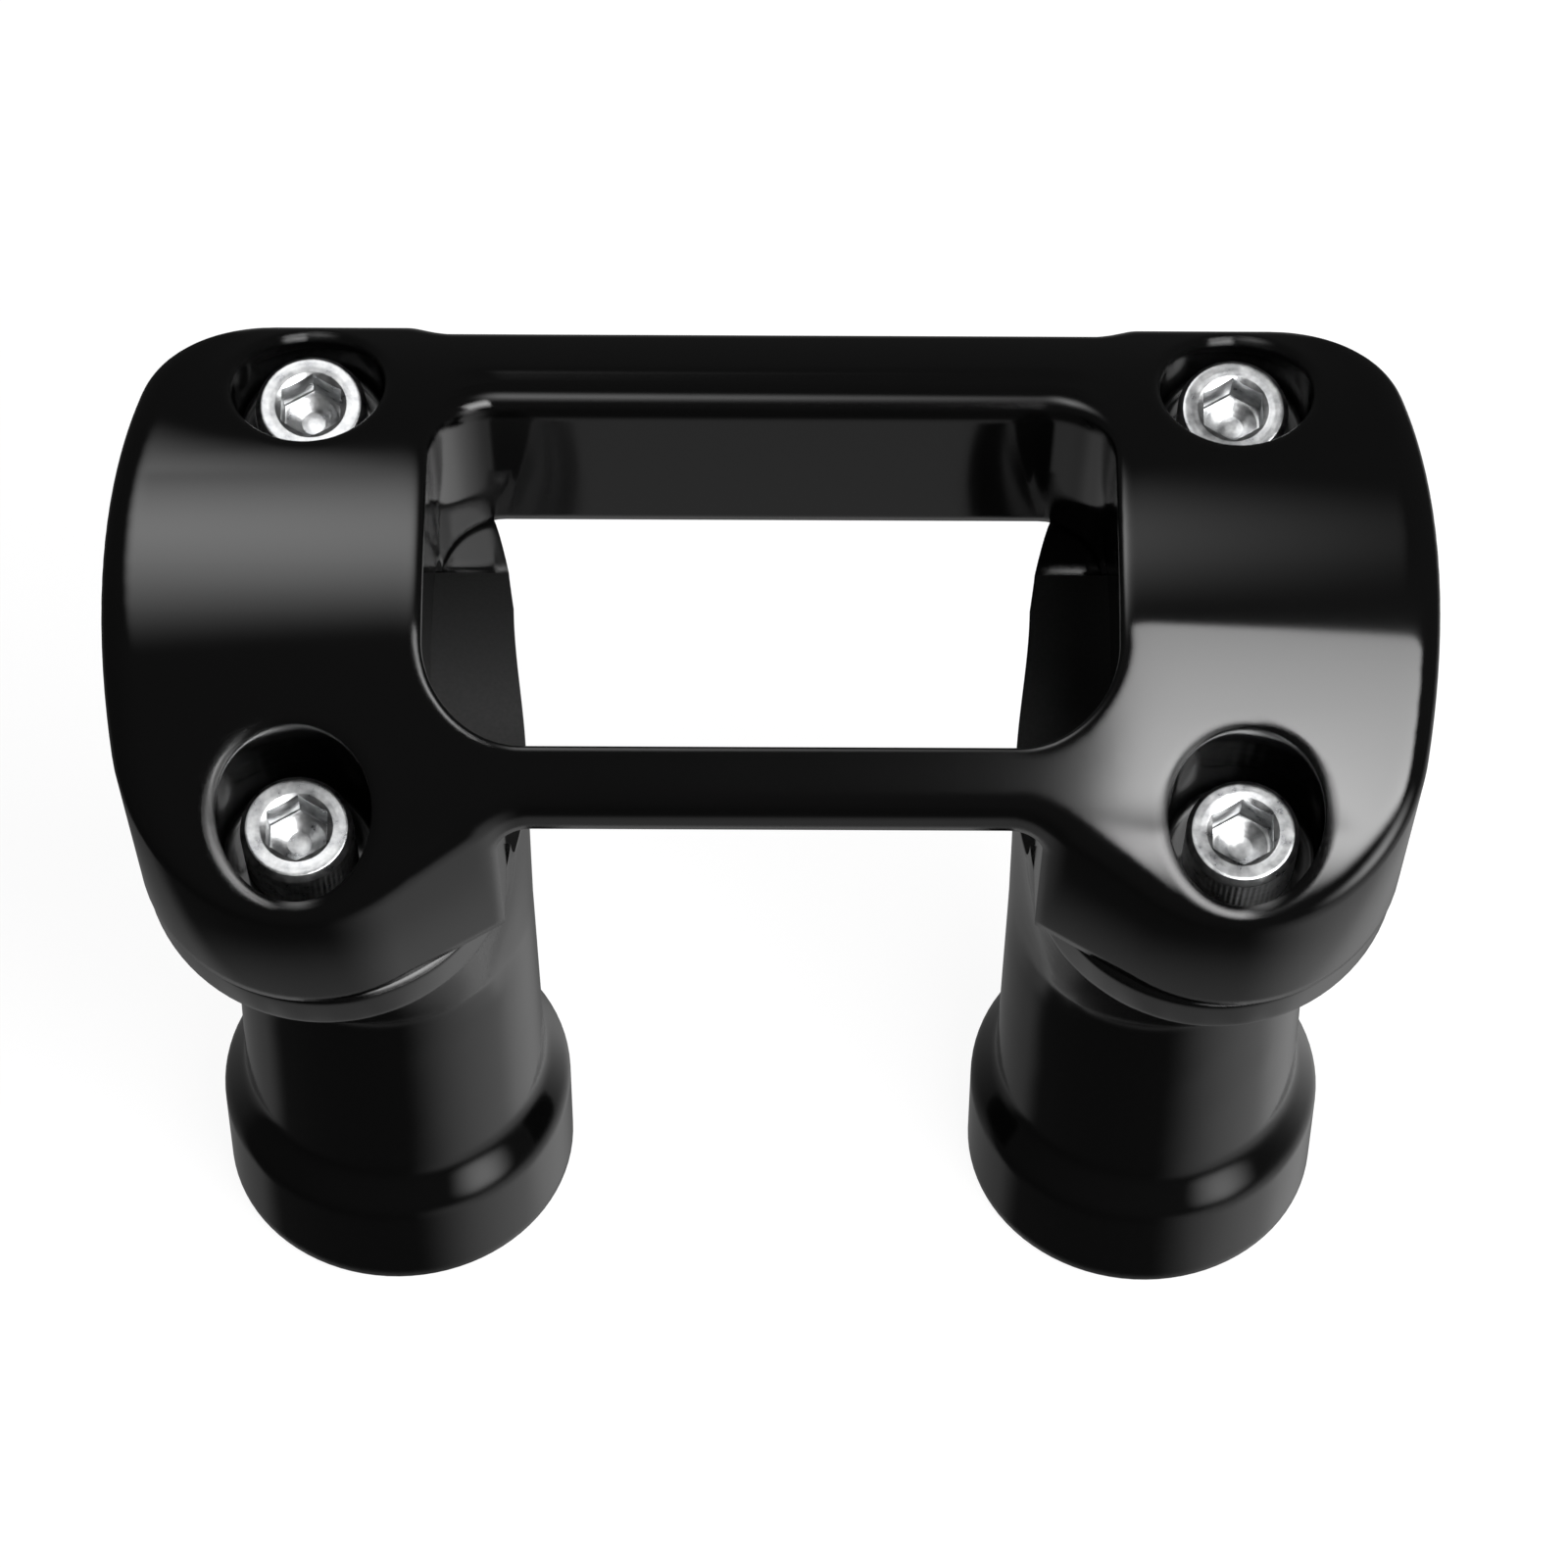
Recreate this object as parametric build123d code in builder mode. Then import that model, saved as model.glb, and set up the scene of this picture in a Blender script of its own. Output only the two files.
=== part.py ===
from build123d import *
from math import asin, atan2, cos, hypot, radians, sin, sqrt, tan
import os

# Handlebar riser set: two turned and angled risers, one clamp over both, four cap screws.
# Lengths are in millimetres. X runs along the handlebar, -Y faces the rider, Z is up.
# The two feet stand on Z = 0, and the origin lies midway between them.

# the two feet, their collars and the stems above them
stem_spacing = 88.9
foot_radius = 20.6
foot_height = 14.0
foot_edge = 0.8
collar_width = 2.9
shoulder_height = 5.2
shoulder_round = 3.0
shoulder_hollow = 4.0
stem_taper = 0.5
neck_start = 50.0
mount_thread_radius = 6.35
mount_thread_depth = 32.0

# where the handlebar lies, and how far its clamp leans towards the rider
bar_height = 91.0
bar_setback = 2.8
clamp_lean = 14.5
bar_diameter = 31.75
bar_clearance = 0.05
parting_gap = 0.5

# the four cap screws, their sockets, tapped holes and pockets
screw_outset = 4.8
screw_radius = 3.97
bar_to_screw_wall = 4.3
screw_clearance = 0.35
thread_clearance = 0.1
thread_engagement = 10.5
thread_runout = 1.5
screw_head_radius = 5.95
screw_head_height = 7.94
screw_head_chamfer = 0.7
screw_sink = 11.5
socket_across_flats = 6.35
socket_depth = 4.2
pocket_clearance = 2.2
pocket_edge = 0.6

# the saddle heads on top of the stems
head_outset = 3.8
head_half_width = 21.0
head_front_swell = 0.8
head_rear_swell = 2.1
head_nose_wall = 6.1
head_depth = 6.6

# the lobes of the one-piece clamp that lies over both heads
lobe_outset = 4.75
lobe_half_width = 20.5
lobe_swell = 1.2
lobe_nose_wall = 2.0
lobe_inner_margin = 1.4
lobe_inner_corner = 25.2
crown_height = 37.5
crown_radius = 50.0
lobe_edge = 3.5
lobe_rear_margin = 0.5
lobe_rear_corner = 14.0

# the two bridges that join the lobes, and the window between them
rear_bridge_step = 1.2
rear_bridge_width = 11.4
step_inset = 10.7
step_run = 3.2
step_round = 5.0
strap_inset = 1.0
strap_flat = 0.8
strap_thickness = 11.5
strap_corner_round = 8.0
strap_root_round = 3.0
window_side_flat = 1.0
window_rear_corner = 7.0
window_front_corner = 10.5
window_edge = 3.2

# how far a cutting shape runs past the solid that it cuts
overrun = 5.0

stem_x = stem_spacing / 2
stem_foot_radius = foot_radius - collar_width
stem_top_radius = stem_foot_radius - stem_taper
bar_radius = bar_diameter / 2 + bar_clearance
clamp_underside = parting_gap / 2

screw_x = stem_x + screw_outset
screw_y = bar_diameter / 2 + screw_radius + bar_to_screw_wall
screw_top = crown_height - screw_sink
screw_seat = screw_top - screw_head_height
screw_length = screw_seat + thread_engagement
tapped_depth = thread_engagement + thread_runout
pocket_radius = screw_head_radius + pocket_clearance

head_centre = stem_x + head_outset
head_half_length = screw_y + screw_radius + head_nose_wall
head_front_radius = head_half_width - head_front_swell
head_rear_radius = head_half_width - head_rear_swell

lobe_centre = stem_x + lobe_outset
lobe_half_length = screw_y + pocket_radius + lobe_nose_wall
lobe_nose_radius = lobe_half_width - lobe_swell
lobe_inner_face = lobe_centre - lobe_nose_radius - lobe_inner_margin
lobe_rear = lobe_half_length + lobe_rear_margin

rear_bridge_back = lobe_rear - rear_bridge_step
step_x = lobe_centre - step_inset
strap_front = lobe_inner_corner - strap_inset
strap_underside = crown_height - strap_thickness
window_side_wall = window_edge + window_side_flat + pocket_edge
window_half_width = screw_x - pocket_radius - window_side_wall
window_rear = rear_bridge_back - rear_bridge_width
window_front = strap_front - window_edge - lobe_edge - strap_flat

# The clamp plane holds the handlebar's axis. Its Z leaves the clamp through the crown.
lean = radians(clamp_lean)
clamp_plane = Plane(
    origin=(0, -bar_setback, bar_height),
    x_dir=(1, 0, 0),
    z_dir=(0, -sin(lean), cos(lean)),
)


def side_radius(half_width, half_length, nose_radius):
    """Radius of the long side arc that is tangent to both nose arcs of an oval."""
    nose_y = half_length - nose_radius
    swell = half_width - nose_radius
    return (half_width**2 + nose_y**2 - nose_radius**2) / (2 * swell)


def nose_end(half_width, half_length, nose_radius):
    """Point, from the oval's centre, where a nose arc meets the side arc."""
    radius = side_radius(half_width, half_length, nose_radius)
    nose_y = half_length - nose_radius
    side_centre = half_width - radius
    scale = radius / hypot(side_centre, nose_y)
    return side_centre - side_centre * scale, nose_y * scale


def head_outline(side):
    """Egg shape of the saddle head: a round nose at each end and swollen sides between."""
    centre = side * head_centre
    for end, nose_radius in ((-1, head_front_radius), (1, head_rear_radius)):
        x, y = nose_end(head_half_width, head_half_length, nose_radius)
        left_end = (centre - x, end * y)
        right_end = (centre + x, end * y)
        ThreePointArc(left_end, (centre, end * head_half_length), right_end)
        TangentArc((centre - head_half_width, 0), left_end, tangent=(0, end))
        TangentArc((centre + head_half_width, 0), right_end, tangent=(0, end))


def lobe_outline():
    """Right-hand lobe with its half of the rear bridge, seen along the clamp's Z."""
    nose_y = lobe_nose_radius - lobe_half_length
    front_side = side_radius(lobe_half_width, lobe_half_length, lobe_nose_radius)
    front_x, front_y = nose_end(lobe_half_width, lobe_half_length, lobe_nose_radius)
    run = lobe_centre - lobe_inner_face
    rise = lobe_inner_corner + nose_y
    turn = asin(lobe_nose_radius / hypot(run, rise)) - atan2(rise, run)
    touch = (lobe_centre - lobe_nose_radius * sin(turn), nose_y - lobe_nose_radius * cos(turn))
    side_x = lobe_centre + lobe_half_width - front_side
    inner = front_side - lobe_rear_corner
    corner_y = lobe_rear - lobe_rear_corner
    corner_x = side_x + sqrt(inner**2 - corner_y**2)
    scale = front_side / inner
    rear_touch = (side_x + (corner_x - side_x) * scale, corner_y * scale)
    slant = lobe_rear_corner * sqrt(0.5)
    strap_end = lobe_inner_face - (lobe_inner_corner - strap_front) / tan(turn)
    Polyline(
        (0, rear_bridge_back),
        (0, -strap_front),
        (strap_end, -strap_front),
        touch,
    )
    ThreePointArc(touch, (lobe_centre, -lobe_half_length), (lobe_centre + front_x, -front_y))
    ThreePointArc(
        (lobe_centre + front_x, -front_y),
        (lobe_centre + lobe_half_width, 0),
        rear_touch,
    )
    ThreePointArc(rear_touch, (corner_x + slant, corner_y + slant), (corner_x, lobe_rear))
    Polyline(
        (corner_x, lobe_rear),
        (step_x, lobe_rear),
        (step_x - step_run, rear_bridge_back),
        (0, rear_bridge_back),
    )


def clamp_side_plane(x):
    """Plane square to the handlebar at a distance x, with its Y along the clamp's Z."""
    return Plane(
        origin=clamp_plane.from_local_coords((x, 0, 0)),
        x_dir=clamp_plane.y_dir,
        z_dir=(1, 0, 0),
    )


def clamp_front_plane(y):
    """Plane that faces the rider at a distance y, with its Y along the clamp's Z."""
    return Plane(
        origin=clamp_plane.from_local_coords((0, y, 0)),
        x_dir=clamp_plane.x_dir,
        z_dir=-clamp_plane.y_dir,
    )


def crown_profile():
    """Side view of the clamp, from its underside to the arc of its crown."""
    reach = lobe_half_length + overrun
    crown_centre = crown_height - crown_radius
    edge = crown_centre + sqrt(crown_radius**2 - reach**2)
    Line((-reach, edge), (-reach, clamp_underside))
    Line((-reach, clamp_underside), (reach, clamp_underside))
    Line((reach, clamp_underside), (reach, edge))
    ThreePointArc((reach, edge), (0, crown_height), (-reach, edge))


def clamp_height(shape):
    """Height of a shape's middle above the handlebar's axis."""
    return clamp_plane.to_local_coords(shape.center()).Z


def screw_locations(height):
    """The four screw axes as places with their Z out of the crown, at one height."""
    return [
        clamp_plane.offset(height).location * Location((x, y, 0))
        for x in (-screw_x, screw_x)
        for y in (-screw_y, screw_y)
    ]


def is_step_corner(corner):
    """Corners of the plan view where a lobe steps down to the rear bridge."""
    at_step = step_x - step_run - 0.1 < abs(corner.X) < step_x + 0.1
    return at_step and corner.Y > window_rear


def is_strap_corner(corner):
    """Corners of the plan view where the front strap meets the lobes."""
    return abs(corner.Y + strap_front) < 0.1 and abs(corner.X) < lobe_inner_face


def is_outer_rim(edge):
    """Edges between the crown and the outer walls, all of them above the handlebar's bore."""
    return clamp_height(edge) > bar_radius


def is_window_rim(edge):
    """Edges between the crown and the window's walls."""
    middle = clamp_plane.to_local_coords(edge.center())
    across = abs(middle.X) < window_half_width + 0.1
    along = -window_front - 0.1 < middle.Y < window_rear + 0.1
    return across and along and middle.Z > strap_underside + 1


def is_pocket_rim(edge):
    """Edges between the crown and the pockets for the screw heads."""
    middle = clamp_plane.to_local_coords(edge.center())
    reach = hypot(abs(middle.X) - screw_x, abs(middle.Y) - screw_y)
    return reach < pocket_radius and middle.Z > screw_seat + 2


def stem_outline():
    """Half section of foot, shoulder and stem, from the axis outwards."""
    Polyline(
        (0, neck_start),
        (0, 0),
        (foot_radius - foot_edge, 0),
        (foot_radius, foot_edge),
        (foot_radius, foot_height),
        (stem_foot_radius, foot_height + shoulder_height),
        (stem_top_radius, neck_start),
        (0, neck_start),
    )


def is_shoulder_rim(corner):
    """Corner of the half section where the foot's side meets the shoulder."""
    return abs(corner.Y - foot_height) < 0.1 and corner.X > stem_foot_radius


def is_shoulder_root(corner):
    """Corner of the half section where the shoulder meets the stem."""
    return abs(corner.Y - foot_height - shoulder_height) < 0.1


clamp_half_length = lobe_centre + lobe_half_width + overrun
screw_names = ("front_left", "rear_left", "front_right", "rear_right")
os.makedirs("parts", exist_ok=True)

with BuildPart() as top_clamp:
    # both lobes and the rear bridge, from the plan view and the side view
    with BuildSketch(clamp_plane.offset(clamp_underside)) as plan_view:
        with BuildLine():
            lobe_outline()
        make_face()
        mirror(about=Plane.YZ)
        fillet(plan_view.vertices().filter_by(is_step_corner), step_round)
        fillet(plan_view.vertices().filter_by(is_strap_corner), strap_corner_round)
    extrude(amount=crown_height)
    with BuildSketch(clamp_side_plane(-clamp_half_length)):
        with BuildLine():
            crown_profile()
        make_face()
    extrude(amount=2 * clamp_half_length, mode=Mode.INTERSECT)
    # one rounded edge runs between the crown and the walls
    outer_rim = top_clamp.edges().filter_by(is_outer_rim)
    fillet(outer_rim, lobe_edge)
    # the window through which an instrument is read
    window_plane = clamp_plane.offset(clamp_underside)
    with BuildSketch(window_plane) as window_view:
        with Locations((0, (window_rear - window_front) / 2)):
            Rectangle(2 * window_half_width, window_rear + window_front)
        fillet(window_view.vertices().group_by(Axis.Y)[0], window_front_corner)
        fillet(window_view.vertices().group_by(Axis.Y)[-1], window_rear_corner)
    extrude(amount=crown_height, mode=Mode.SUBTRACT)
    window_rim = top_clamp.edges().filter_by(is_window_rim)
    fillet(window_rim, window_edge)
    # the front bridge is a shallow strap, open below
    with BuildSketch(clamp_front_plane(window_front_corner - window_front)) as below_strap:
        Rectangle(2 * lobe_inner_face, 2 * strap_underside)
        fillet(below_strap.vertices().group_by(Axis.Y)[-1], strap_root_round)
    extrude(amount=window_front_corner + lobe_half_length, mode=Mode.SUBTRACT)
    # the handlebar's half of the bore
    with BuildSketch(clamp_side_plane(-clamp_half_length)):
        Circle(bar_radius)
    extrude(amount=2 * clamp_half_length, mode=Mode.SUBTRACT)
    # pockets for the screw heads, and clearance holes below them
    with Locations(*screw_locations(screw_seat)):
        Cylinder(
            pocket_radius,
            crown_height,
            align=(Align.CENTER, Align.CENTER, Align.MIN),
            mode=Mode.SUBTRACT,
        )
    with Locations(*screw_locations(0)):
        Cylinder(
            screw_radius + screw_clearance,
            crown_height,
            align=(Align.CENTER, Align.CENTER, Align.MIN),
            mode=Mode.SUBTRACT,
        )
    pocket_rims = top_clamp.edges().filter_by(is_pocket_rim)
    fillet(pocket_rims, pocket_edge)
    top_clamp.part.label = "top_clamp"

export_step(top_clamp.part, "parts/top_clamp.step")


for side, side_name in ((-1, "left"), (1, "right")):
    foot_plane = Plane(origin=(side * stem_x, 0, 0), x_dir=(1, 0, 0), z_dir=(0, -1, 0))
    with BuildPart() as riser:
        # foot, shoulder and stem, turned about the stem's axis
        with BuildSketch(foot_plane) as stem_view:
            with BuildLine():
                stem_outline()
            make_face()
            fillet(stem_view.vertices().filter_by(is_shoulder_rim), shoulder_round)
            fillet(stem_view.vertices().filter_by(is_shoulder_root), shoulder_hollow)
        revolve(axis=Axis((side * stem_x, 0, 0), (0, 0, 1)))
        # neck, from the round stem to the egg-shaped head
        with BuildSketch(Plane.XY.offset(neck_start)):
            with Locations((side * stem_x, 0)):
                Circle(stem_top_radius)
        with BuildSketch(clamp_plane.offset(-clamp_underside - head_depth)):
            with BuildLine():
                head_outline(side)
            make_face()
        loft()
        # head with its upright wall
        with BuildSketch(clamp_plane.offset(-clamp_underside)):
            with BuildLine():
                head_outline(side)
            make_face()
        extrude(amount=-head_depth)
        # saddle for the handlebar
        with BuildSketch(clamp_side_plane(-clamp_half_length)):
            Circle(bar_radius)
        extrude(amount=2 * clamp_half_length, mode=Mode.SUBTRACT)
        # tapped holes for the two cap screws
        with Locations(*[place for place in screw_locations(0) if side * place.position.X > 0]):
            Cylinder(
                screw_radius + thread_clearance,
                tapped_depth,
                align=(Align.CENTER, Align.CENTER, Align.MAX),
                mode=Mode.SUBTRACT,
            )
        # tapped hole in the foot
        with Locations((side * stem_x, 0, 0)):
            Cylinder(
                mount_thread_radius,
                mount_thread_depth,
                align=(Align.CENTER, Align.CENTER, Align.MIN),
                mode=Mode.SUBTRACT,
            )
    riser.part.label = side_name + "_riser"
    export_step(riser.part, "parts/" + riser.part.label + ".step")


for place, place_name in zip(screw_locations(screw_seat), screw_names):
    with BuildPart() as screw:
        with Locations(place):
            Cylinder(
                screw_head_radius,
                screw_head_height,
                align=(Align.CENTER, Align.CENTER, Align.MIN),
            )
            Cylinder(
                screw_radius,
                screw_length,
                align=(Align.CENTER, Align.CENTER, Align.MAX),
            )
        top_face = screw.faces().sort_by(Axis(clamp_plane.origin, clamp_plane.z_dir))[-1]
        chamfer(top_face.edges(), screw_head_chamfer)
        with BuildSketch(Plane(place).offset(screw_head_height)):
            RegularPolygon(socket_across_flats / 2, 6, major_radius=False, rotation=30)
        extrude(amount=-socket_depth, mode=Mode.SUBTRACT)
    screw.part.label = place_name + "_cap_screw"
    export_step(screw.part, "parts/" + screw.part.label + ".step")
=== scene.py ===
from math import cos, pi, radians, sin
import bpy
import numpy as np
from mathutils import Matrix, Vector


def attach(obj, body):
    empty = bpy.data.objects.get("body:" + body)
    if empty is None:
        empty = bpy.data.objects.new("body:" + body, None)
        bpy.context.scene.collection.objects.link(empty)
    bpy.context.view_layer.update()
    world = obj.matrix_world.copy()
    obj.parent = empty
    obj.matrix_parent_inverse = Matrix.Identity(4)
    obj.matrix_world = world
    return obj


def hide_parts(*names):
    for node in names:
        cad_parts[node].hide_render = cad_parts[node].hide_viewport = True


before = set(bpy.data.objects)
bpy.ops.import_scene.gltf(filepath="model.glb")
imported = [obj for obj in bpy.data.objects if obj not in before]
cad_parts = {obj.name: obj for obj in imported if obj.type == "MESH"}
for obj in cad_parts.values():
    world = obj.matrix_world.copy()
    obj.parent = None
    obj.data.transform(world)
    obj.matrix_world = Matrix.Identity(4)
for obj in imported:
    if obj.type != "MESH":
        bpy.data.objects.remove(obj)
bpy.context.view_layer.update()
MM = 0.001


# THE TWO RISERS
# Each riser is one aluminium casting: a collared foot, a tapered stem and an egg-shaped saddle
# head. It is powder coated in gloss black, and its foot is tapped for the bolt from below.

def linear(code):
    """A colour written as sRGB hex, as the linear numbers that a shader takes."""
    parts = [int(code[i:i + 2], 16) / 255 for i in (1, 3, 5)]
    return [c / 12.92 if c <= 0.04045 else ((c + 0.055) / 1.055) ** 2.4 for c in parts] + [1.0]


def add_node(material, kind, values, links, **settings):
    """Adds one node with its settings, its inputs' values and its links from other nodes."""
    node = material.node_tree.nodes.new(kind)
    for name, value in settings.items():
        setattr(node, name, value)
    for name, value in values.items():
        node.inputs[name].default_value = value
    for name, (source, output) in links.items():
        material.node_tree.links.new(source.outputs[output], node.inputs[name])
    return node


def new_material(name):
    """An empty material with an output node, ready for its own nodes."""
    material = bpy.data.materials.new(name)
    material.use_nodes = True
    material.node_tree.nodes.clear()
    return material, add_node(material, "ShaderNodeOutputMaterial", {}, {})


# gloss black polyester powder coat: one smooth hard film, very dark, with sharp reflections.
# It has a faint orange peel, 2.5 mm from crest to crest, and a gloss that drifts a little over
# 30 mm. The film runs smoothly over edges, so that they mirror as rounds of 2 mm.
gloss_black_coat, coat_output = new_material("gloss_black_powder_coat")
place = add_node(gloss_black_coat, "ShaderNodeTexCoord", {}, {})
peel = add_node(
    gloss_black_coat,
    "ShaderNodeTexNoise",
    {"Scale": 1 / (2.5 * MM), "Detail": 1.0},
    {"Vector": (place, "Object")},
)
flow = add_node(gloss_black_coat, "ShaderNodeBevel", {"Radius": 2.0 * MM}, {}, samples=8)
relief = add_node(
    gloss_black_coat,
    "ShaderNodeBump",
    {"Strength": 0.25, "Distance": 0.002 * MM},
    {"Height": (peel, "Fac"), "Normal": (flow, "Normal")},
)
drift = add_node(
    gloss_black_coat,
    "ShaderNodeTexNoise",
    {"Scale": 1 / (30 * MM), "Detail": 3.0},
    {"Vector": (place, "Object")},
)
gloss = add_node(
    gloss_black_coat,
    "ShaderNodeMapRange",
    {"To Min": 0.05, "To Max": 0.11},
    {"Value": (drift, "Fac")},
)
film = add_node(
    gloss_black_coat,
    "ShaderNodeBsdfPrincipled",
    {"Base Color": linear("#060606"), "IOR": 1.55},
    {"Roughness": (gloss, "Result"), "Normal": (relief, "Normal")},
)
gloss_black_coat.node_tree.links.new(film.outputs["BSDF"], coat_output.inputs["Surface"])

# matte black primer in the bores for the handlebar: they are masked from the powder, and blasted
# to a fine grit of 0.4 mm so that they grip the bar
primer, primer_output = new_material("matte_black_bore_primer")
place = add_node(primer, "ShaderNodeTexCoord", {}, {})
grit = add_node(
    primer,
    "ShaderNodeTexNoise",
    {"Scale": 1 / (0.4 * MM), "Detail": 2.0},
    {"Vector": (place, "Object")},
)
blast = add_node(
    primer,
    "ShaderNodeBump",
    {"Strength": 0.4, "Distance": 0.02 * MM},
    {"Height": (grit, "Fac")},
)
dull = add_node(
    primer,
    "ShaderNodeMapRange",
    {"To Min": 0.6, "To Max": 0.8},
    {"Value": (grit, "Fac")},
)
flat_film = add_node(
    primer,
    "ShaderNodeBsdfPrincipled",
    {"Base Color": linear("#0b0b0b"), "IOR": 1.5},
    {"Roughness": (dull, "Result"), "Normal": (blast, "Normal")},
)
primer.node_tree.links.new(flat_film.outputs["BSDF"], primer_output.inputs["Surface"])

# the handlebar's axis runs along X, this far behind the origin and above it, and every face
# whose middle is nearer to it than this radius belongs to the bore
bar_setback, bar_height, bore_wall_radius = 2.8, 91.0, 15.93
weld_distance = 0.0005 * MM
smooth_turn = radians(24)


def corner_normals(mesh, spread):
    """Normals of the face corners, so that flats stay flat and rounds run smoothly.

    Each is the sum of the normals, weighted by area, of those faces round the corner's
    vertex that turn less than the spread away from the corner's own face. The second
    array holds the plain normal of each corner's face.
    """
    totals = np.empty(len(mesh.polygons), dtype=int)
    mesh.polygons.foreach_get("loop_total", totals)
    normals = np.empty(3 * len(totals))
    mesh.polygons.foreach_get("normal", normals)
    areas = np.empty(len(totals))
    mesh.polygons.foreach_get("area", areas)
    vertex = np.empty(len(mesh.loops), dtype=int)
    mesh.loops.foreach_get("vertex_index", vertex)
    face = np.repeat(np.arange(len(totals)), totals)
    normals = normals.reshape(-1, 3)
    weighted = normals * areas[:, None]
    order = np.argsort(vertex, kind="stable")
    starts = np.searchsorted(vertex[order], np.arange(len(mesh.vertices)))
    sizes = np.diff(np.append(starts, len(order)))
    summed = np.empty((len(order), 3))
    for size in np.unique(sizes[sizes > 0]):
        fans = order[starts[sizes == size][:, None] + np.arange(size)]
        own = normals[face[fans]]
        alike = np.einsum("fik,fjk->fij", own, own) > cos(spread)
        summed[fans] = np.einsum("fij,fjk->fik", alike.astype(float), weighted[face[fans]])
    return summed / np.linalg.norm(summed, axis=1, keepdims=True), normals[face]


def smooth_copy(name, refine=None):
    """A merged copy of a CAD node that stands for it, coated outside and primed in its bore.

    Its corners get normals for smooth reflections, which refine may correct.
    """
    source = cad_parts[name]
    mesh = source.data.copy()
    mesh.transform(source.matrix_world)
    piece = bpy.data.objects.new(name + "_casting", mesh)
    bpy.context.scene.collection.objects.link(piece)
    weld = piece.modifiers.new("weld", "WELD")
    weld.merge_threshold = weld_distance
    mesh_tools = bpy.context.evaluated_depsgraph_get()
    merged = bpy.data.meshes.new_from_object(piece.evaluated_get(mesh_tools))
    piece.modifiers.clear()
    piece.data = merged
    merged.materials.clear()
    merged.materials.append(gloss_black_coat)
    merged.materials.append(primer)
    merged.shade_smooth()
    centres = np.empty(3 * len(merged.polygons))
    merged.polygons.foreach_get("center", centres)
    centres = centres.reshape(-1, 3) / MM
    bar_distance = np.hypot(centres[:, 1] + bar_setback, centres[:, 2] - bar_height)
    merged.polygons.foreach_set("material_index", (bar_distance < bore_wall_radius).astype(int))
    normals, flat = corner_normals(merged, smooth_turn)
    if refine:
        points = np.empty(3 * len(merged.vertices))
        merged.vertices.foreach_get("co", points)
        vertex = np.empty(len(merged.loops), dtype=int)
        merged.loops.foreach_get("vertex_index", vertex)
        normals = refine(points.reshape(-1, 3)[vertex], normals, flat)
    merged.normals_split_custom_set(normals.tolist())
    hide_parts(name)
    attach(piece, "root")
    return piece


for riser_name in ("left_riser", "right_riser"):
    smooth_copy(riser_name)


def skin(name, grid, material, ring_shut):
    """A closed skin over an array of rings of points, each ring one turn round an axis.

    Neighbouring rings are joined by quads. The last ring joins the first where ring_shut is
    true; otherwise the first and last rings are closed by fans on their middle points. Its
    UV map holds the distance from the axis and the height, both in millimetres.
    """
    rings, steps = grid.shape[:2]
    points = np.vstack((grid.reshape(-1, 3), grid[0].mean(axis=0), grid[-1].mean(axis=0)))
    step = np.arange(steps)
    after = (step + 1) % steps
    low = np.arange(rings if ring_shut else rings - 1)[:, None] * steps
    high = (low + steps) % (rings * steps)
    quads = np.stack((low + step, low + after, high + after, high + step), axis=-1)
    faces = quads.reshape(-1, 4).tolist()
    if ring_shut:
        points = points[:-2]
    else:
        first, last = rings * steps, rings * steps + 1
        faces += np.stack((np.full(steps, first), after, step), axis=-1).tolist()
        base = (rings - 1) * steps
        faces += np.stack((np.full(steps, last), base + step, base + after), axis=-1).tolist()
    mesh = bpy.data.meshes.new(name)
    mesh.from_pydata((points * MM).tolist(), [], faces)
    vertex = np.empty(len(mesh.loops), dtype=int)
    mesh.loops.foreach_get("vertex_index", vertex)
    flat_map = np.stack((np.hypot(points[:, 0], points[:, 1]), points[:, 2]), axis=-1)
    uv_map = mesh.uv_layers.new(name="radius_and_height")
    uv_map.data.foreach_set("uv", flat_map[vertex].ravel())
    mesh.materials.append(material)
    mesh.shade_smooth()
    piece = bpy.data.objects.new(name, mesh)
    bpy.context.scene.collection.objects.link(piece)
    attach(piece, "root")
    return piece


def thread_wave(turn, height, pitch):
    """A screw thread's profile, 0 in the root and 1 on the crest, with both cut flat.

    The wave climbs one pitch in each turn: it is a triangle of the height in pitches less
    the turn, stretched and clipped so that an eighth of the pitch is flat at each end.
    """
    phase = (height / pitch - turn) % 1
    return np.clip((1 - 2 * abs(phase - 0.5)) * 4 / 3 - 1 / 6, 0, 1)


# bare aluminium, cut by the tap after coating: bright flanks with fine marks, 0.4 mm apart
cut_aluminium, cut_output = new_material("tapped_bare_aluminium")
place = add_node(cut_aluminium, "ShaderNodeTexCoord", {}, {})
marks = add_node(
    cut_aluminium,
    "ShaderNodeTexNoise",
    {"Scale": 1 / (0.4 * MM), "Detail": 3.0},
    {"Vector": (place, "Object")},
)
wear = add_node(
    cut_aluminium,
    "ShaderNodeMapRange",
    {"To Min": 0.25, "To Max": 0.45},
    {"Value": (marks, "Fac")},
)
scores = add_node(
    cut_aluminium,
    "ShaderNodeBump",
    {"Strength": 0.4, "Distance": 0.01 * MM},
    {"Height": (marks, "Fac")},
)
metal = add_node(
    cut_aluminium,
    "ShaderNodeBsdfPrincipled",
    {"Base Color": linear("#c9cacc"), "Metallic": 1.0},
    {"Roughness": (wear, "Result"), "Normal": (scores, "Normal")},
)
cut_aluminium.node_tree.links.new(metal.outputs["BSDF"], cut_output.inputs["Surface"])

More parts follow.
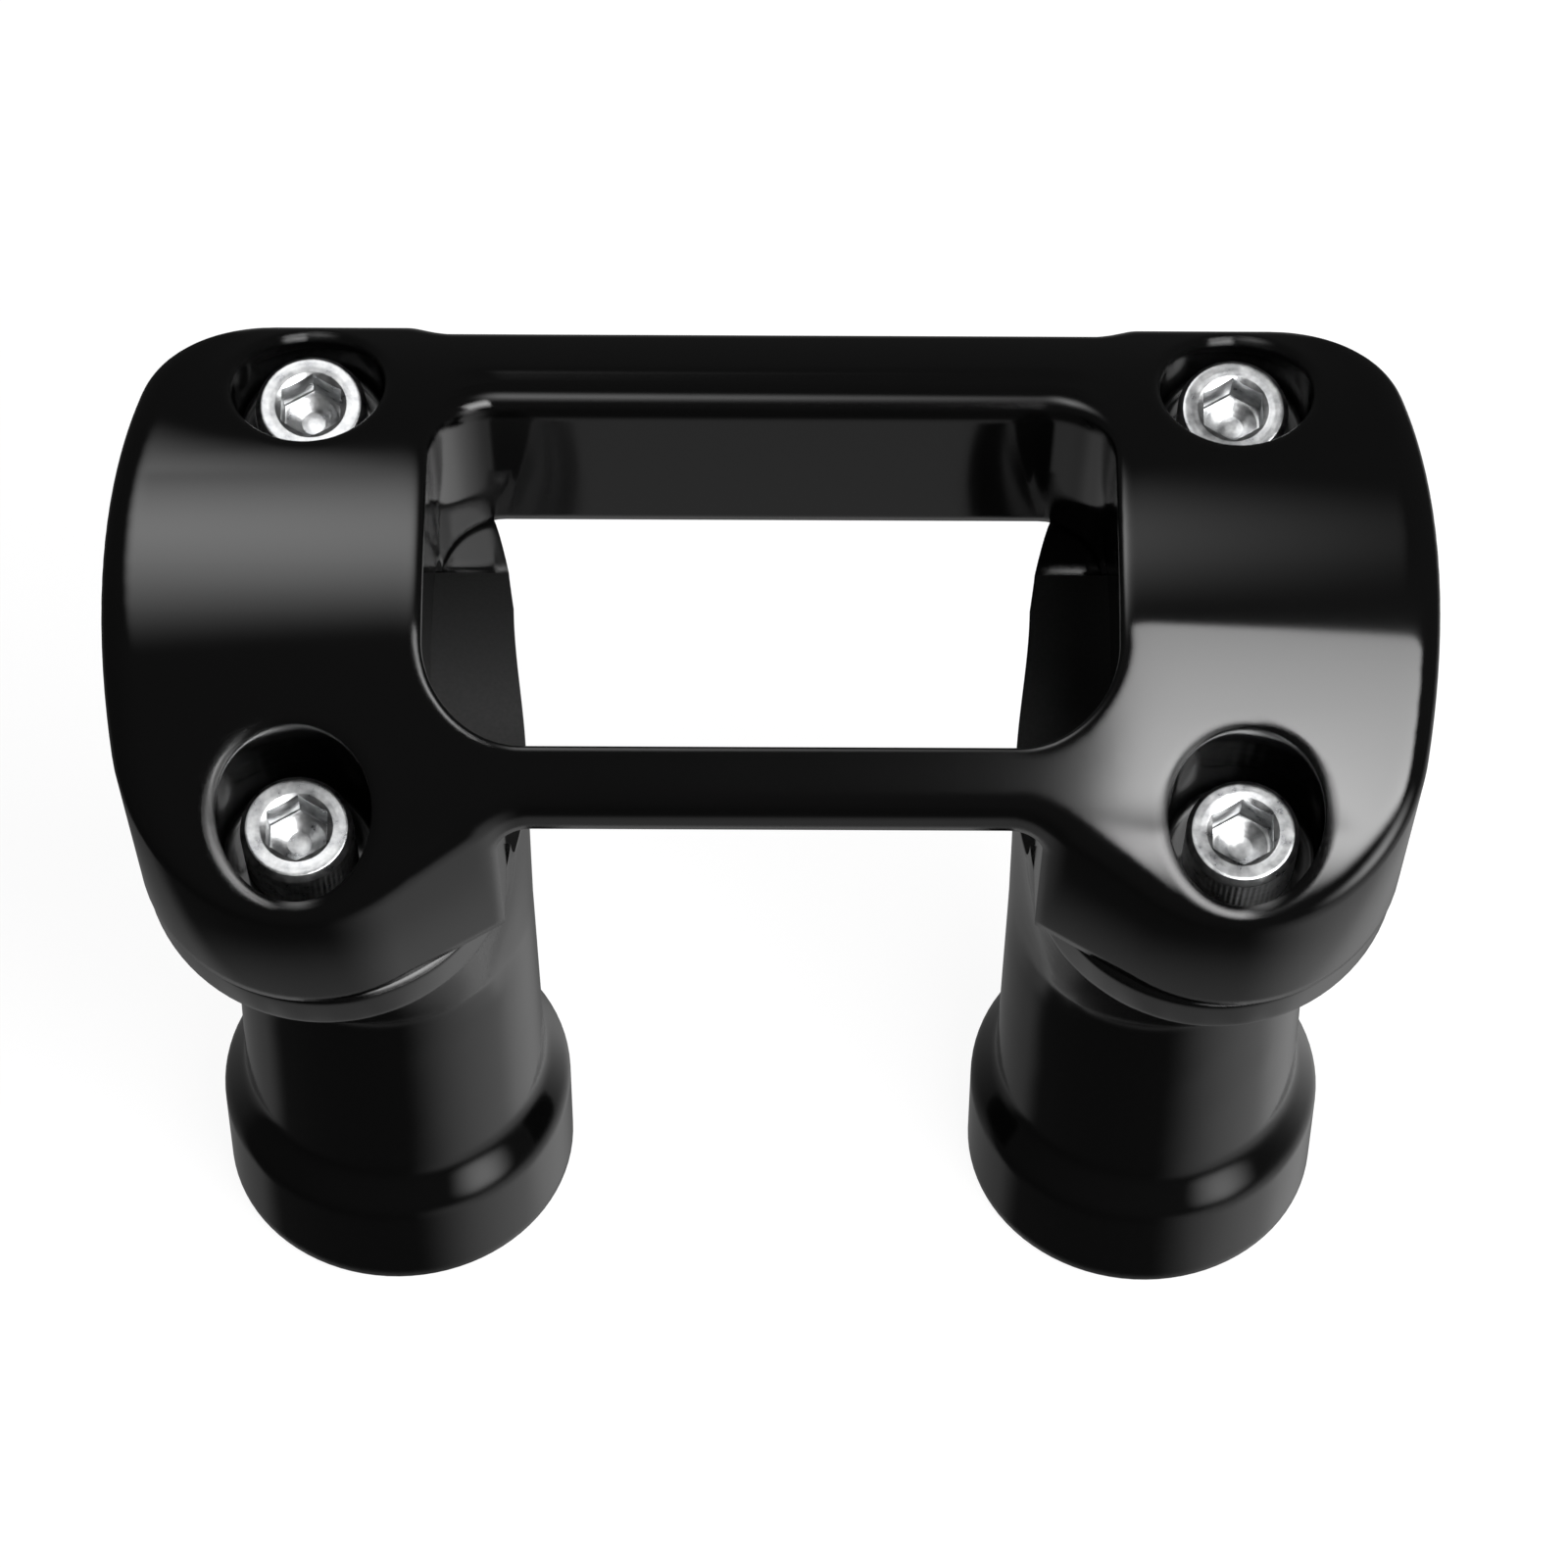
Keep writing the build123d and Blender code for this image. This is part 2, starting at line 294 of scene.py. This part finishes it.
# the threads in the feet, 13 to the inch: a sleeve down the threaded inner side and up the
# plain outer side, which lies against the wall of the bore. Its crests stand in from that wall
# by the depth, and the thread fades over one pitch at each end.
stem_x, bore_radius, thread_low, thread_high = 44.45, 6.35, 1.2, 30.0
tap_pitch, tap_depth, root_gap, wall_gap = 25.4 / 13, 0.8, 0.04, 0.01
tap_steps, tap_levels = 96, 120
turn = np.arange(tap_steps)[None, :] / tap_steps
height = np.linspace(thread_high, thread_low, tap_levels)[:, None]
fade_in = np.clip((height - thread_low) / tap_pitch, 0, 1)
fade = fade_in * np.clip((thread_high - height) / tap_pitch, 0, 1)
inner = bore_radius - root_gap - tap_depth * thread_wave(turn, height, tap_pitch) * fade
radius = np.vstack((inner, np.full((2, tap_steps), bore_radius - wall_gap)))
height = np.vstack((height, [[thread_low], [thread_high]])) + 0 * radius
angle = 2 * pi * turn + 0 * radius
tap_grid = np.stack((radius * np.cos(angle), radius * np.sin(angle), height), axis=-1)
for side, side_name in ((-1, "left"), (1, "right")):
    sleeve_name = side_name + "_foot_tapping"
    sleeve = skin(sleeve_name, tap_grid, cut_aluminium, True)
    sleeve.data.transform(Matrix.Translation((side * stem_x * MM, 0, 0)))
    sleeve.data.set_sharp_from_angle(angle=radians(40))


# THE TOP CLAMP
# One casting spans both lobes, with a deep rear bridge and a shallow front strap round the
# window. It has the same gloss black coat, and lies on the handlebar over both saddles.

clamp_lean, crown_radius, crown_axis = radians(14.5), 50.0, -12.5
crown_tolerance, crown_turn = 0.02, radians(30)
# the window with its rolled rim: half its width, and its middle and half its length along the
# clamp. It takes in the faces that look at least a little upward.
rim_half_width, rim_middle, rim_half_length, rim_facing = 39.6, 2.15, 23.35, 0.02
rim_start, rim_blend = radians(50), radians(40)
# the lobes' outer walls: beyond this distance from the middle, or ahead of this line
wall_side, wall_front, wall_lift = 58, -26, 0.25


def crown_normals(points, normals, flat):
    """Normals of the crown, the window's rim and the lobes' outer walls.

    The crown is a cylinder of crown_radius about an axis along X, crown_axis above the
    handlebar, so its normal points from that axis to the corner. On the window's rim the
    crown's normal holds until the surface bends away by rim_start, and then gives way over
    rim_blend, as on a rim that is rolled flatter. On the outer walls the normals lean
    upward, by wall_lift at the crown and by nothing at the handlebar.
    """
    x = points[:, 0] / MM
    y = points[:, 1] / MM + bar_setback
    z = points[:, 2] / MM - bar_height
    along = y * cos(clamp_lean) + z * sin(clamp_lean)
    out = z * cos(clamp_lean) - y * sin(clamp_lean) - crown_axis
    radius = np.hypot(along, out)
    exact = np.stack((
        0 * y,
        (along * cos(clamp_lean) - out * sin(clamp_lean)) / radius,
        (along * sin(clamp_lean) + out * cos(clamp_lean)) / radius,
    ), axis=-1)
    facing = (exact * flat).sum(axis=1)
    on_crown = (abs(radius - crown_radius) < crown_tolerance) & (facing > cos(crown_turn))
    normals = np.where(on_crown[:, None], exact, normals)
    by_window = (abs(x) < rim_half_width) & (abs(along - rim_middle) < rim_half_length)
    by_window &= facing > rim_facing
    bend = np.arccos(np.clip((exact * normals).sum(axis=1), -1, 1))
    share = np.where(by_window, np.clip((bend - rim_start) / rim_blend, 0, 1), 1)
    normals = exact + share[:, None] * (normals - exact)
    crown_height = crown_axis + np.sqrt(crown_radius ** 2 - along ** 2)
    outside = (abs(x) > wall_side) | (along < wall_front)
    outside &= x * flat[:, 0] + along * flat[:, 1] > 0
    lift = wall_lift * np.clip((out + crown_axis) / crown_height, 0, 1) * outside
    rolled = normals + lift[:, None] * np.array([0, -sin(clamp_lean), cos(clamp_lean)])
    return rolled / np.linalg.norm(rolled, axis=1, keepdims=True)


smooth_copy("top_clamp", crown_normals)


# THE FOUR CAP SCREWS
# Socket head cap screws of zinc plated steel, 5/16 in with 18 threads to the inch, pull the
# clamp down on the risers. The stamped marks on the real heads are left out.

zinc_plate, zinc_output = new_material("bright_zinc_plated_steel")
place = add_node(zinc_plate, "ShaderNodeTexCoord", {}, {})
blotch = add_node(
    zinc_plate,
    "ShaderNodeTexNoise",
    {"Scale": 1 / (1.2 * MM), "Detail": 4.0},
    {"Vector": (place, "Object")},
)
tone = add_node(zinc_plate, "ShaderNodeValToRGB", {}, {"Fac": (blotch, "Fac")})
for stop, position, colour in zip(tone.color_ramp.elements, (0.3, 0.7), ("#9b9c9e", "#d2d3d3")):
    stop.position = position
    stop.color = linear(colour)
dullness = add_node(
    zinc_plate,
    "ShaderNodeMapRange",
    {"To Min": 0.2, "To Max": 0.42},
    {"Value": (blotch, "Fac")},
)
# turning marks, 0.3 mm apart, ring the axis on the faces that the lathe cut
turning = add_node(
    zinc_plate,
    "ShaderNodeTexWave",
    {"Scale": 1 / (0.3 * 2 * pi), "Distortion": 0.6, "Detail": 2.0},
    {"Vector": (place, "UV")},
)
ridges = add_node(
    zinc_plate,
    "ShaderNodeBump",
    {"Strength": 0.35, "Distance": 0.01 * MM},
    {"Height": (turning, "Fac")},
)
grain = add_node(
    zinc_plate,
    "ShaderNodeTexNoise",
    {"Scale": 1 / (0.25 * MM), "Detail": 2.0},
    {"Vector": (place, "Object")},
)
pits = add_node(
    zinc_plate,
    "ShaderNodeBump",
    {"Strength": 0.5, "Distance": 0.02 * MM},
    {"Height": (grain, "Fac"), "Normal": (ridges, "Normal")},
)
plate = add_node(
    zinc_plate,
    "ShaderNodeBsdfPrincipled",
    {"Metallic": 1.0},
    {"Base Color": (tone, "Color"), "Roughness": (dullness, "Result"), "Normal": (pits, "Normal")},
)
zinc_plate.node_tree.links.new(plate.outputs["BSDF"], zinc_output.inputs["Surface"])

# the screw's skin, ring by ring, from the tip up the shank, over the head and into the socket
thread_radius, thread_depth, screw_pitch = 3.96, 0.85, 25.4 / 18
shank_length, plain_length = 28.5, 5.0
head_radius, head_height, rim_radius = 5.95, 7.94, 5.25
socket_half, mouth_radius, socket_depth, spot_radius = 3.175, 3.78, 4.2, 1.25
steps, thread_levels, knurls, knurl_depth = 240, 110, 60, 0.06
turn = np.arange(steps) / steps
angle = 2 * pi * turn
# the hexagon's distance from the axis, with corners at 30 degrees and every 60 from there
hexagon = socket_half / np.cos((angle + pi / 6) % (pi / 3) - pi / 6)
knurl = 0.5 - 0.5 * np.cos(2 * pi * knurls * turn)
height = np.linspace(-shank_length, -plain_length, thread_levels)[:, None]
bite_in = np.clip((height + shank_length) / screw_pitch, 0, 1)
bite = bite_in * np.clip((-plain_length - height) / screw_pitch, 0, 1)
groove = 1 - thread_wave(turn[None, :], height, screw_pitch) * bite
threaded = thread_radius - thread_depth * groove
# the last pitch runs out into the plain shank
run_out = np.maximum(threaded, thread_radius - thread_depth * bite)
threaded = np.where(height > -plain_length - screw_pitch, run_out, threaded)
rings = [(radius, level) for radius, level in zip(threaded, height)]
round_ring = np.ones(steps)
# the plain shank, the fillet under the head, its bearing face and its lower edge
for radius, level in (
    (thread_radius, -plain_length),
    (thread_radius, -0.35),
    (thread_radius + 0.25, 0.0),
    (head_radius - 0.25, 0.0),
    (head_radius - 0.05, 0.2),
):
    rings.append((radius * round_ring, level))
for level in (0.45, 6.9):
    rings.append((head_radius - 0.02 - knurl_depth * knurl, level))
# over the knurls, the chamfer, the flat top and the mouth of the socket
for radius, level in (
    (head_radius - 0.02, 7.14),
    (head_radius - 0.10, 7.30),
    (rim_radius + 0.12, head_height - 0.05),
    (rim_radius, head_height - 0.01),
    (rim_radius - 0.15, head_height - 0.005),
    (mouth_radius + 0.08, head_height - 0.005),
    (mouth_radius, head_height - 0.03),
):
    rings.append((radius * round_ring, level))
# the mouth's cone, 30 degrees steep, meets the six walls, which end in a small round
mouth_drop = 0.577 * (mouth_radius - hexagon)
floor_level = head_height - socket_depth
rings.append((hexagon, head_height - 0.03 - mouth_drop))
rings.append((hexagon - 0.02, head_height - 0.10 - mouth_drop))
rings.append((hexagon - 0.02, floor_level + 0.15))
rings.append((hexagon - 0.15, floor_level))
# the socket's floor slopes to the drill's spot
for radius, level in (
    (2.85, floor_level - 0.02),
    (2.75, floor_level - 0.08),
    (spot_radius + 0.08, floor_level - 0.62),
    (spot_radius, floor_level - 0.65),
    (0.2, floor_level - 0.65),
):
    rings.append((radius * round_ring, level))
radius = np.stack([ring for ring, level in rings])
level = np.stack([np.broadcast_to(level, steps) for ring, level in rings])
screw_grid = np.stack((radius * np.cos(angle), radius * np.sin(angle), level), axis=-1)

# each screw leans with the clamp and bears on its seat in a pocket
screw_x, screw_y, screw_seat = 49.25, 24.145, 18.06
lean = Matrix.Rotation(clamp_lean, 4, "X")
stand = Matrix.Translation((0, -bar_setback * MM, bar_height * MM)) @ lean
for end, end_name in ((-1, "front"), (1, "rear")):
    for side, side_name in ((-1, "left"), (1, "right")):
        node_name = end_name + "_" + side_name + "_cap_screw"
        screw = skin(node_name + "_turned", screw_grid, zinc_plate, False)
        seat = (side * screw_x * MM, end * screw_y * MM, screw_seat * MM)
        screw.data.transform(stand @ Matrix.Translation(seat))
        screw.data.set_sharp_from_angle(angle=radians(30))
        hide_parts(node_name)


# THE STUDIO
# A plain pale floor under a dim room, lit by three panels as in the photograph: one over the
# front right, whose edge shows in the right lobe, a low one beside it, and one at the rear.

def emitter(name, centre, aim, width, height, strength):
    """A panel that faces aim, hidden from the camera, with its own pattern of brightness.

    The panel's object coordinates run from -1 to 1 across and up it, and strength adds the
    nodes that turn them into light. It adds its light to what is behind it.
    """
    material, output = new_material(name + "_light")
    spot = add_node(material, "ShaderNodeTexCoord", {}, {})
    level = strength(material, spot)
    glow = add_node(material, "ShaderNodeEmission", {}, {"Strength": (level, 0)})
    clear = add_node(material, "ShaderNodeBsdfTransparent", {}, {})
    both = add_node(
        material,
        "ShaderNodeAddShader",
        {},
        {0: (glow, "Emission"), 1: (clear, "BSDF")},
    )
    material.node_tree.links.new(both.outputs["Shader"], output.inputs["Surface"])
    mesh = bpy.data.meshes.new(name)
    mesh.from_pydata([(-1, -1, 0), (1, -1, 0), (1, 1, 0), (-1, 1, 0)], [], [(3, 2, 1, 0)])
    mesh.materials.append(material)
    panel = bpy.data.objects.new(name, mesh)
    bpy.context.scene.collection.objects.link(panel)
    back = (Vector(centre) - Vector(aim)).normalized()
    overhead = abs(back.z) > 0.7
    across = Vector((1, 0, 0)) if overhead else Vector((-back.y, back.x, 0)).normalized()
    up = back.cross(across).normalized()
    across = up.cross(back).normalized()
    turn = Matrix((across, up, back)).transposed().to_4x4()
    size = Matrix.Diagonal((width / 2, height / 2, 1, 1))
    panel.matrix_world = Matrix.Translation(centre) @ turn @ size
    panel.visible_camera = False
    return panel


def round_fade(peak):
    """Brightness that is highest in the panel's middle and fades smoothly to nothing."""
    def strength(material, spot):
        fade = add_node(
            material,
            "ShaderNodeTexGradient",
            {},
            {"Vector": (spot, "Object")},
            gradient_type="SPHERICAL",
        )
        return add_node(
            material,
            "ShaderNodeMapRange",
            {"To Max": peak},
            {"Value": (fade, "Fac")},
            interpolation_type="SMOOTHSTEP",
        )
    return strength


def lower_glow(top_level, bottom_level):
    """Brightness that grows from a sharp upper edge down, and fades near the lower edge."""
    def strength(material, spot):
        axes = add_node(material, "ShaderNodeSeparateXYZ", {}, {"Vector": (spot, "Object")})
        ramp = add_node(
            material,
            "ShaderNodeMapRange",
            {"From Min": 1.0, "From Max": -0.4, "To Min": top_level, "To Max": bottom_level},
            {"Value": (axes, "Y")},
        )
        fade = add_node(
            material,
            "ShaderNodeMapRange",
            {"From Min": -1.0, "From Max": -0.45},
            {"Value": (axes, "Y")},
            interpolation_type="SMOOTHSTEP",
        )
        return add_node(
            material,
            "ShaderNodeMath",
            {},
            {0: (ramp, "Result"), 1: (fade, "Result")},
            operation="MULTIPLY",
        )
    return strength


# two panels hang at the same distance from the work, each tilted from straight overhead
work_height, panel_reach = 0.11, 0.62
front_x, front_tilt = 0.361, radians(33.5)
emitter(
    "front_right_panel",
    centre=(front_x, -panel_reach * sin(front_tilt), work_height + panel_reach * cos(front_tilt)),
    aim=(front_x, 0, work_height),
    width=0.59,
    height=2 * panel_reach * 0.53,
    strength=lower_glow(top_level=5.6, bottom_level=10.0),
)
emitter(
    "low_right_panel",
    centre=(0.53, -0.46, 0.10),
    aim=(0, 0, 0.03),
    width=0.70,
    height=0.50,
    strength=round_fade(peak=4.4),
)
rear_x, rear_tilt = -0.14, radians(17.7)
emitter(
    "rear_left_panel",
    centre=(rear_x, panel_reach * sin(rear_tilt), work_height + panel_reach * cos(rear_tilt)),
    aim=(rear_x, 0, work_height),
    width=0.62,
    height=2 * panel_reach * 0.545,
    strength=round_fade(peak=3.4),
)

# the floor: white to the camera, with the object's soft shadow. The coat doesn't mirror it,
# because the room below, seen through it, stands for the cards round the real set. It lies
# 0.05 mm under the feet, so that their undersides aren't in its plane.
floor_paper, floor_output = new_material("white_paper_floor")
ray = add_node(floor_paper, "ShaderNodeLightPath", {}, {})
paper = add_node(floor_paper, "ShaderNodeBsdfDiffuse", {"Color": linear("#6a6a6a")}, {})
strength = add_node(
    floor_paper,
    "ShaderNodeMath",
    {1: 0.92},
    {0: (ray, "Is Camera Ray")},
    operation="MULTIPLY",
)
lift = add_node(
    floor_paper,
    "ShaderNodeEmission",
    {"Color": linear("#ffffff")},
    {"Strength": (strength, "Value")},
)
total = add_node(
    floor_paper,
    "ShaderNodeAddShader",
    {},
    {0: (paper, "BSDF"), 1: (lift, "Emission")},
)
clear = add_node(floor_paper, "ShaderNodeBsdfTransparent", {}, {})
seen = add_node(
    floor_paper,
    "ShaderNodeMixShader",
    {},
    {0: (ray, "Is Glossy Ray"), 1: (total, "Shader"), 2: (clear, "BSDF")},
)
floor_paper.node_tree.links.new(seen.outputs["Shader"], floor_output.inputs["Surface"])
reach, drop = 6.0, -0.05 * MM
floor_mesh = bpy.data.meshes.new("floor")
corners = [(x * reach, y * reach, drop) for x, y in ((-1, -1), (1, -1), (1, 1), (-1, 1))]
floor_mesh.from_pydata(corners, [], [(0, 1, 2, 3)])
floor_mesh.materials.append(floor_paper)
floor = bpy.data.objects.new("floor", floor_mesh)
bpy.context.scene.collection.objects.link(floor)

# the room: dim above; below, half bright on the right, fainter at the rear and straight down,
# and dark in front, where the camera stood, and on the left
world = bpy.data.worlds.new("dim_studio")
bpy.context.scene.world = world
world.use_nodes = True
world.node_tree.nodes.clear()
sky_output = add_node(world, "ShaderNodeOutputWorld", {}, {})
facing = add_node(world, "ShaderNodeTexCoord", {}, {})
axes = add_node(world, "ShaderNodeSeparateXYZ", {}, {"Vector": (facing, "Generated")})
cards = None
for axis, start, end, level in (
    ("X", 0.08, 0.58, 0.5),
    ("Y", -0.02, 0.2, 0.12),
    ("Z", -0.86, -0.98, 0.12),
):
    card = add_node(
        world,
        "ShaderNodeMapRange",
        {"From Min": start, "From Max": end, "To Max": level},
        {"Value": (axes, axis)},
        interpolation_type="SMOOTHSTEP",
    )
    if cards is not None:
        card = add_node(world, "ShaderNodeMath", {}, {0: (cards, 0), 1: (card, 0)}, operation="ADD")
    cards = card
below = add_node(
    world,
    "ShaderNodeMapRange",
    {"From Min": -0.15, "From Max": -0.5},
    {"Value": (axes, "Z")},
    interpolation_type="SMOOTHSTEP",
)
under = add_node(world, "ShaderNodeMath", {}, {0: (cards, 0), 1: (below, 0)}, operation="MULTIPLY")
above = add_node(
    world,
    "ShaderNodeMapRange",
    {"From Min": -0.5, "From Max": 0.0, "To Min": 0.03, "To Max": 0.05},
    {"Value": (axes, "Z")},
)
room = add_node(world, "ShaderNodeMath", {}, {0: (under, 0), 1: (above, 0)}, operation="ADD")
ray = add_node(world, "ShaderNodeLightPath", {}, {})
seen_level = add_node(
    world,
    "ShaderNodeMath",
    {},
    {0: (room, 0), 1: (ray, "Is Camera Ray")},
    operation="MAXIMUM",
)
sky = add_node(
    world,
    "ShaderNodeBackground",
    {"Color": linear("#ffffff")},
    {"Strength": (seen_level, 0)},
)
world.node_tree.links.new(sky.outputs["Background"], sky_output.inputs["Surface"])

# the camera: a long lens, 54 degrees above the horizon, straight in front of the part
camera_data = bpy.data.cameras.new("camera")
camera_data.sensor_width = 36
camera_data.lens = 146.25
camera_data.clip_end = 20
camera = bpy.data.objects.new("camera", camera_data)
bpy.context.scene.collection.objects.link(camera)
back = Vector((0, -0.5845, 0.8114)).normalized()
level_right = Vector((1, 0, 0))
level_up = back.cross(level_right)
roll = radians(0.25)
right = cos(roll) * level_right + sin(roll) * level_up
up = back.cross(right)
turn = Matrix((right, up, back)).transposed().to_4x4()
camera.matrix_world = Matrix.Translation((1.45 * MM, -416.05 * MM, 650.39 * MM)) @ turn
bpy.context.scene.camera = camera
bpy.context.scene.view_settings.view_transform = "Standard"
